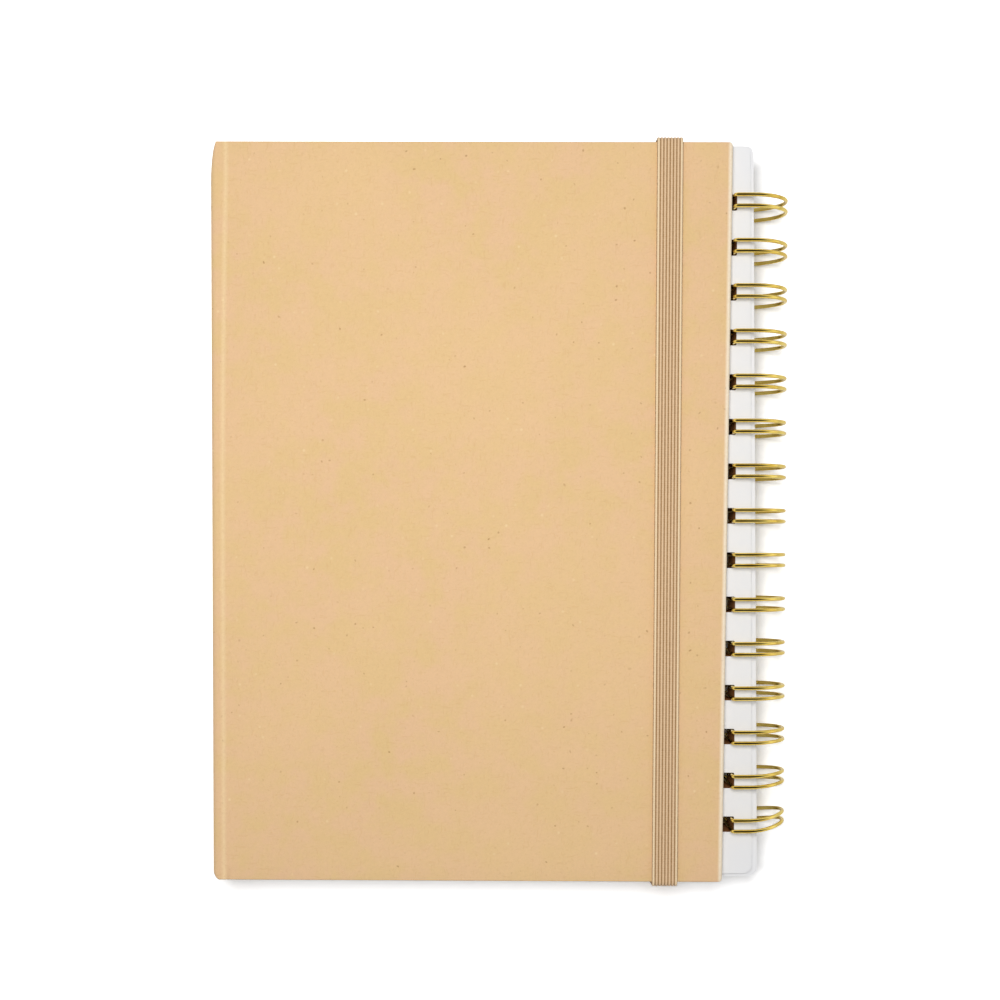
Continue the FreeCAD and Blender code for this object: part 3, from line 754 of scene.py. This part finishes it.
def panel_rows(outer_z, inner_z):
    """Rows of sections along a cover, with its free edge and its two free corners rounded."""
    away = 1 if outer_z > inner_z else -1
    stations = [ROLL_X + step * FINE_STEP for step in range(20)]
    last = stations[-1]
    flat_end = FREE_X - FREE_ROUND
    stations += [last + (flat_end - last) * step / 14 for step in range(1, 15)]
    rows = [panel_section(x, HALF_HEIGHT, outer_z, inner_z) for x in stations]
    for angle in quarter(7)[1:]:
        x = flat_end + FREE_ROUND * math.sin(angle)
        fall = 1 - math.cos(angle)
        into_corner = max(0.0, x - (FREE_X - COVER_CORNER))
        pull = COVER_CORNER - math.sqrt(max(0.0, COVER_CORNER ** 2 - into_corner ** 2))
        rows.append(panel_section(x, HALF_HEIGHT - pull, outer_z - away * FREE_ROUND * fall,
                                  inner_z + away * INNER_ROUND * fall))
    return rows


def trimmed(rows):
    """The same rows stretched so that the free edge stands out, and more towards the head."""
    start_x = FREE_X - 2 * TURN_IN
    end_x = rows[-1][0][0]
    for row in rows:
        for number, (x, y, z) in enumerate(row):
            share = max(0.0, (x - start_x) / (end_x - start_x))
            row[number] = (x + share * (TRIM_WIDE + TRIM_LEAN * y / HALF_HEIGHT), y, z)
    return rows


def block(*spans):
    """A plain box over its spans in x, y and z, only ever used to cut room out of a piece."""
    mesh = bmesh.new()
    bmesh.ops.create_cube(mesh, size=1.0)
    for vert in mesh.verts:
        vert.co = Vector(low + (co + 0.5) * (high - low) for co, (low, high) in zip(vert.co, spans))
    data = bpy.data.meshes.new("room")
    mesh.to_mesh(data)
    mesh.free()
    return in_scene("room", data)


def take_out(obj, tools):
    """Cuts each tool out of the piece and deletes the tools."""
    for tool in tools:
        cut = obj.modifiers.new("cut", "BOOLEAN")
        cut.operation = "DIFFERENCE"
        cut.solver = "EXACT"
        cut.object = tool
    applied(obj)
    for tool in tools:
        bpy.data.objects.remove(tool)


def cover_paper(side):
    """The kraft paper of one cover, and what is to be taken out for its board and its lining."""
    low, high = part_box(f"{side}_covering")
    board_low, board_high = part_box(f"{side}_board")
    front = side == "front"
    outer_z, inner_z = (high.z, low.z) if front else (low.z, high.z)
    rows = panel_rows(outer_z, inner_z)
    paper = loft(f"{side}_kraft_paper", trimmed(rows) if front else rows, kraft)
    away = 1 if front else -1
    past_inside = inner_z - away * MM
    under_board = board_low.z if front else board_high.z
    board_start = board_low.x - BOARD_SLACK
    past_ends = HALF_HEIGHT + MM
    board_room = block((board_start, board_high.x - FREE_ROUND / 2), (board_low.y, board_high.y),
                       (board_low.z - BOARD_SLACK, board_high.z + BOARD_SLACK))
    lining_room = block((board_start, FREE_X - TURN_IN), (TURN_IN - HALF_HEIGHT, HALF_HEIGHT - TURN_IN),
                        sorted((under_board, past_inside)))
    fold_room = block((SPINE_X - MM, board_low.x), (-past_ends, past_ends),
                      sorted((outer_z - away * PAPER_LAYERS, past_inside)))
    return paper, [board_room, lining_room, fold_room]


front_paper, front_tools = cover_paper("front")
take_out(front_paper, front_tools)
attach(front_paper, "front_cover")
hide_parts("front_covering")

back_paper, back_tools = cover_paper("back")
band_low, band_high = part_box("elastic_band")
for sign in (1, -1):
    shallow = sorted((sign * (HALF_HEIGHT - SLIT_DEPTH), sign * (HALF_HEIGHT + MM)))
    back_tools.append(block((band_low.x - SLIT_PLAY, band_high.x + SLIT_PLAY), shallow,
                            (band_low.z - SLIT_PLAY / 2, SLIT_TOP + SLIT_PLAY)))
take_out(back_paper, back_tools)
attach(back_paper, "back_cover")
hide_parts("back_covering")


def spine_paper_rows():
    """Upright paper: flat outside, and drawn in under the rolled folds at both long edges."""
    low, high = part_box("spine_covering")
    rows = []
    for y in spine_stations():
        inset = end_inset(y)
        reach = max(0.05 * MM, ROLL - FOLD_THICK - inset)
        edge = [(ROLL_X - reach * math.sin(angle), ROLL - (ROLL - FOLD_THICK) * math.cos(angle))
                for angle in quarter()]
        edge.append((SPINE_X + inset, ROLL))
        section = [(high.x, y, low.z), (high.x, y, high.z)]
        section += [(x, y, CLOSED - z) for x, z in edge]
        section += [(x, y, z) for x, z in reversed(edge)]
        rows.append(section)
    return rows


spine_paper = loft("spine_kraft_paper", spine_paper_rows(), kraft)
spine_low, spine_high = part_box("spine_board")
take_out(spine_paper, [
    block((spine_high.x - SPINE_ROOM, spine_high.x), (spine_low.y, spine_high.y),
          (spine_low.z + MM, spine_high.z - MM)),
    block((spine_high.x - SPINE_WINDOW, spine_high.x + MM),
          (TURN_IN - HALF_HEIGHT, HALF_HEIGHT - TURN_IN), (0.0, CLOSED)),
])
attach(spine_paper, "spine")
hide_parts("spine_covering")


def fold_rows(front):
    """A rolled fold of paper along one long edge of the spine, a quarter turn from cover to spine."""
    rows = []
    for y in spine_stations():
        into_round = min(1.0, max(0.0, (abs(y) - HALF_HEIGHT + END_ROUND) / END_ROUND))
        wide = max(0.06 * MM, ROLL - end_inset(y))
        tall = ROLL - END_ROUND * (1 - math.cos(math.asin(into_round)))
        thin = max(0.03 * MM, wide - FOLD_THICK)
        outer = [(ROLL_X - wide * math.sin(angle), ROLL - tall * math.cos(angle))
                 for angle in quarter(10)]
        inner = [(ROLL_X - thin * math.sin(angle), ROLL - (tall - FOLD_THICK) * math.cos(angle))
                 for angle in quarter(10)]
        section = outer + inner[::-1]
        rows.append([(x, y, CLOSED - z if front else z) for x, z in section])
    return rows


for name, front, bodies in (("front_kraft_fold", True, ("spine", "front_cover")),
                            ("back_kraft_fold", False, ("back_cover", "spine"))):
    fold = loft(name, fold_rows(front), kraft)
    if front:
        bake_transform(fold)
    else:
        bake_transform(fold)

# Linings: white paper pasted inside each cover and down the spine, over the folded-in kraft.
# The three sheets are the parts as built; thin strips of the same paper cross the two hinges.
STRIP_THICK = 0.08 * MM
STRIP_SKIN = 0.03 * MM
STRIP_START = 0.3 * MM
lining_finish = paper_material(
    "lining_finish", "#F1ECE2", "#E2DACB", 0.4, 0.7, 0.35, fibres=0.4, specks=0.1)
for node_name in ("front_lining", "spine_lining", "back_lining"):
    dress(node_name, lining_finish)


def strip_rows(front):
    """Sections of a strip where it crosses a hinge: up beside the spine, over, and to the cover."""
    low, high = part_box("front_lining")
    spine_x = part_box("spine_lining")[1].x + STRIP_SKIN
    cover_x = low.x - STRIP_SKIN
    roof = CLOSED - PAPER_LAYERS - STRIP_SKIN
    cover_z = low.z + STRIP_SKIN
    section = [(spine_x, roof - STRIP_START), (spine_x, roof), (cover_x, roof), (cover_x, cover_z)]
    spine_x += STRIP_THICK
    cover_x -= STRIP_THICK
    under = roof - STRIP_THICK
    section += [(cover_x, cover_z), (cover_x, under), (spine_x, under), (spine_x, roof - STRIP_START)]
    return [[(x, low.y + (high.y - low.y) * step / 24, z if front else CLOSED - z)
             for x, z in section] for step in range(25)]


for name, front, bodies in (("front_lining_strip", True, ("spine", "front_cover")),
                            ("back_lining_strip", False, ("back_cover", "spine"))):
    rows = strip_rows(front)
    strip = loft(name, rows, lining_finish)
    if front:
        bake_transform(strip)
    else:
        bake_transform(strip)

# Elastic band: a woven beige band with eight cords of rubber in it, stretched round the cover.
# Its two ends are glued into recesses of the back board, at the head and the foot.
BAND_THICK = 1.2 * MM
BAND_PLAY = 0.1 * MM
BAND_BEND = 1.7 * MM
TUCK_BEND = 0.7 * MM
TAIL_LENGTH = 10.0 * MM
TAIL_FACE = 3.0 * MM
RIBS = 8
RIB_DEPTH = 0.34 * MM
RIB_POWER = 0.6
BACK_DEPTH = 0.92
# Painted shade in the valleys between the ribs, and the colour of the lit rib tops.
BAND_VALLEY_PAINTED_SHADE = "#A27C4E"
BAND_LIGHT = "#EAC9A2"
BAND_OUTER_RIBS_PALE = "#F6DDB6"
BAND_DRIFT = 0.85 * MM


def band_line():
    """Middle of the band from one glued end round the cover to the other, in the YZ plane."""
    half = BAND_THICK / 2
    middle_y = HALF_HEIGHT + BAND_PLAY + half
    tail_z = band_low.z + half
    top_z = band_high.z - half
    bend = BAND_BEND - half
    points = [(HALF_HEIGHT - SKIN - TAIL_LENGTH, tail_z)]
    points += [(middle_y - TUCK_BEND + TUCK_BEND * math.sin(angle),
                tail_z + TUCK_BEND - TUCK_BEND * math.cos(angle)) for angle in quarter(6)]
    low_z, high_z = tail_z + TUCK_BEND, top_z - bend
    points += [(middle_y, low_z + (high_z - low_z) * step / 12) for step in range(1, 12)]
    points += [(middle_y - bend + bend * math.cos(angle), high_z + bend * math.sin(angle))
               for angle in quarter(8)]
    start_y = middle_y - bend
    flat = [(start_y - 2 * start_y * step / 160, top_z) for step in range(1, 160)]
    mirrored = [(-y, z) for y, z in reversed(points)]
    middle_x = (band_low.x + band_high.x) / 2
    return [(middle_x, y, z) for y, z in points + flat + mirrored]


def band_section():
    """Section of the band: eight rounded ribs on both faces, as a closed line round the middle."""
    width = band_high.x - band_low.x
    steps = RIBS * 8
    outer = []
    for number in range(steps + 1):
        share = number / steps
        ridge = abs(math.sin(math.pi * share * RIBS)) ** RIB_POWER
        height = BAND_THICK / 2 - RIB_DEPTH * (1 - ridge)
        outer.append((width * (share - 0.5), height))
    inner = [(x, -height * BACK_DEPTH) for x, height in reversed(outer)]
    mesh = bpy.data.meshes.new("band_section")
    points = [(x, y, 0.0) for x, y in outer + inner]
    edges = [(i, (i + 1) % len(points)) for i in range(len(points))]
    mesh.from_pydata(points, edges, [])
    return in_scene("band_section", mesh)


def woven_band_tree():
    """Geometry Nodes: the ribbed section carried along the line of the band."""
    tree, given, result = geometry_tree("woven_band", (
        ("Section", "Object"), ("Material", "Material")))
    shape = add_node(tree, "GeometryNodeObjectInfo", {"Object": given["Section"]})
    section = add_node(tree, "GeometryNodeMeshToCurve", {"Mesh": shape.outputs["Geometry"]})
    return draw_along(tree, section, given, result)


def elastic_material():
    """Beige woven yarn over rubber: fine crosswise stitches, with painted shade in the valleys between
    the ribs and painted light on their tops.
    """
    material, tree, shader, place = new_material("elastic_weave")
    stitches = add_node(tree, "ShaderNodeTexWave", {
        "Vector": wander(tree, place, 500.0, 2.0, 0.0004), "Scale": 620.0, "Distortion": 1.5,
        "Detail": 2.0, "Detail Scale": 3.0}, wave_type="BANDS", bands_direction="Y")
    yarn = noise(tree, place, 1800.0, 3.0)
    x, z = axes(tree, place)[::2]
    drift = ramp(tree, z, TAIL_FACE, CLOSED, 0.0, BAND_DRIFT, interpolation_type="SMOOTHSTEP")
    across = calculate(tree, "SUBTRACT", x, drift)
    rib = calculate(tree, "MULTIPLY", calculate(tree, "SUBTRACT", across, band_low.x),
                    math.pi * RIBS / (band_high.x - band_low.x))
    rib = calculate(tree, "ABSOLUTE", calculate(tree, "SINE", rib))
    mottled = calculate(tree, "MULTIPLY_ADD", yarn, 0.5, -0.25)
    share = calculate(tree, "ADD", ramp(tree, rib, 0.15, 0.95), mottled)
    share = calculate(tree, "ADD", share, calculate(tree, "MULTIPLY_ADD", stitches, 0.16, -0.08))
    share = add_node(tree, "ShaderNodeClamp", {0: share})
    # Painted shade in the valleys between the ribs and painted light on their tops, broken up by the
    # yarn and the stitches.
    base = mix_colours(tree, share, linear(BAND_VALLEY_PAINTED_SHADE), linear(BAND_LIGHT))
    half_width = (band_high.x - band_low.x) / 2
    from_middle = calculate(tree, "ABSOLUTE", calculate(
        tree, "SUBTRACT", across, (band_low.x + band_high.x) / 2))
    # The two outer ribs are made paler than the middle ones.
    outer_ribs = ramp(tree, from_middle, half_width * 0.8, half_width * 0.86)
    outer_ribs = calculate(tree, "MULTIPLY", outer_ribs, share)
    base = mix_colours(tree, outer_ribs, base, linear(BAND_OUTER_RIBS_PALE))
    shader.inputs["Sheen Weight"].default_value = 0.25
    shader.inputs["Sheen Roughness"].default_value = 0.5
    surface(tree, shader, base, ramp(tree, yarn, 0.0, 1.0, 0.7, 0.95),
            calculate(tree, "ADD", stitches, yarn), 0.5, 0.1 * MM)
    return material


section_object = band_section()
elastic = grow("woven_elastic_band", woven_band_tree(), {
    "Section": section_object, "Material": elastic_material(),
}, polyline("band_line", band_line()))
bpy.data.objects.remove(section_object)
for vert in elastic.data.vertices:
    up = min(1.0, max(0.0, (vert.co.z - TAIL_FACE) / (CLOSED - TAIL_FACE)))
    vert.co.x += BAND_DRIFT * up * up * (3 - 2 * up)
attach(elastic, "back_cover")
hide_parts("elastic_band")
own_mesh(elastic)

# Table and light: a white sheet of paper under the notebook and a soft lamp above its upper half.
# The white is whiter to the camera than to the notebook, and still holds the shadow; beside the sheets
# less white is added, which paints a shade there.
FLOOR_HALF = 1.6
FLOOR_EXTRA = 0.78
# Camera-only white beside the sheets, kept low to paint a shade there.
FLOOR_EXTRA_IN_PAINTED_SHADE = 0.18
LAMP_PLACE = Vector((-0.02, 0.07, 0.47))
LAMP_SIDE = 0.20
LAMP_WATTS = 1.62
FILL = 0.31
PLAIN_WHITE = (1.0, 1.0, 1.0, 1.0)
SKY_SHADE = (0.03, 0.02, 0.012, 1.0)


def floor_material():
    """White sweep: plain white that stays white to the camera and keeps the shadow, with a painted
    shade beside the sheets.
    """
    material, tree, shader, place = new_material("white_sweep")
    base = mix_colours(tree, noise(tree, place, 3.0, 2.0), linear("#EFEFEF"), linear("#EDEDED"))
    feed(tree, base, shader.inputs["Base Color"])
    shader.inputs["Roughness"].default_value = 0.9
    shader.inputs["Specular IOR Level"].default_value = 0.1
    x, y = axes(tree, place)[:2]
    # Painted shade: up to 10 mm past the cover's free edge the camera-only white is held low, rising
    # over the next 10 mm.
    painted_shade_beside_sheets = ramp(tree, x, CASE_HIGH.x + 10 * MM, CASE_HIGH.x + 20 * MM,
                       FLOOR_EXTRA_IN_PAINTED_SHADE, FLOOR_EXTRA)
    past_ends = ramp(tree, calculate(tree, "ABSOLUTE", y), HALF_HEIGHT - 4 * MM,
                     HALF_HEIGHT + 2 * MM, 0.0, FLOOR_EXTRA)
    past_spine = ramp(tree, x, 0.0, SPINE_X, 0.0, FLOOR_EXTRA)
    amount = calculate(tree, "MAXIMUM", calculate(tree, "MAXIMUM", painted_shade_beside_sheets, past_ends), past_spine)
    seen = add_node(tree, "ShaderNodeLightPath").outputs["Is Camera Ray"]
    amount = calculate(tree, "MULTIPLY", amount, seen)
    grey = add_node(tree, "ShaderNodeCombineColor", {0: amount, 1: amount, 2: amount})
    extra = add_node(tree, "ShaderNodeBsdfDiffuse", {"Color": grey})
    both = add_node(tree, "ShaderNodeAddShader", {0: shader, 1: extra})
    feed(tree, both, tree.nodes["Material Output"].inputs[0])
    return material


floor_mesh = bpy.data.meshes.new("floor")
floor_mesh.from_pydata(
    [(-FLOOR_HALF, -FLOOR_HALF, 0), (FLOOR_HALF, -FLOOR_HALF, 0),
     (FLOOR_HALF, FLOOR_HALF, 0), (-FLOOR_HALF, FLOOR_HALF, 0)], [], [(0, 1, 2, 3)])
floor_mesh.materials.append(floor_material())
in_scene("floor", floor_mesh)

light = bpy.data.lights.new("key_lamp", "AREA")
light.shape = "SQUARE"
light.size = LAMP_SIDE
light.energy = LAMP_WATTS
lamp = in_scene("key_lamp", light)
lamp_aim = (-LAMP_PLACE).to_track_quat("-Z", "Y").to_matrix().to_4x4()
lamp.matrix_world = Matrix.Translation(LAMP_PLACE) @ lamp_aim
lamp.visible_glossy = False

world = bpy.data.worlds.new("studio")
bpy.context.scene.world = world
world.use_nodes = True
room = world.node_tree
room.nodes.clear()
height = axes(room, add_node(room, "ShaderNodeTexCoord").outputs["Generated"])[2]
mirrored = mix_colours(room, ramp(room, height, 0.3, 0.75), PLAIN_WHITE, SKY_SHADE)
rays = add_node(room, "ShaderNodeLightPath").outputs
plain = add_node(room, "ShaderNodeBackground", {"Color": PLAIN_WHITE, "Strength": FILL})
shiny = add_node(room, "ShaderNodeBackground", {"Color": mirrored, "Strength": 1.0})
white = add_node(room, "ShaderNodeBackground", {"Color": PLAIN_WHITE, "Strength": 1.0})
glossy = add_node(room, "ShaderNodeMixShader", {0: rays["Is Glossy Ray"], 1: plain, 2: shiny})
seen = add_node(room, "ShaderNodeMixShader", {0: rays["Is Camera Ray"], 1: glossy, 2: white})
add_node(room, "ShaderNodeOutputWorld", {0: seen})
bpy.context.scene.view_settings.view_transform = "Standard"

# Camera: above the notebook and a little towards its foot, leaning two degrees off the upright.
# Its place, turn and lens were fitted to the edges of the cover and to the row of wires.
CAMERA_PLACE = (0.01192, -0.01018, 0.41400)
CAMERA_TURN = (math.radians(-2.025), math.radians(0.389), math.radians(0.197))
CAMERA_LENS = 49.8
CAMERA_SHIFT_Y = 0.0995
camera_data = bpy.data.cameras.new("camera")
camera_data.lens = CAMERA_LENS
camera_data.sensor_width = 36.0
camera_data.shift_y = CAMERA_SHIFT_Y
camera_data.clip_start = 0.01
camera = in_scene("camera", camera_data)
camera.matrix_world = Matrix.Translation(CAMERA_PLACE) @ Euler(CAMERA_TURN).to_matrix().to_4x4()
bpy.context.scene.camera = camera
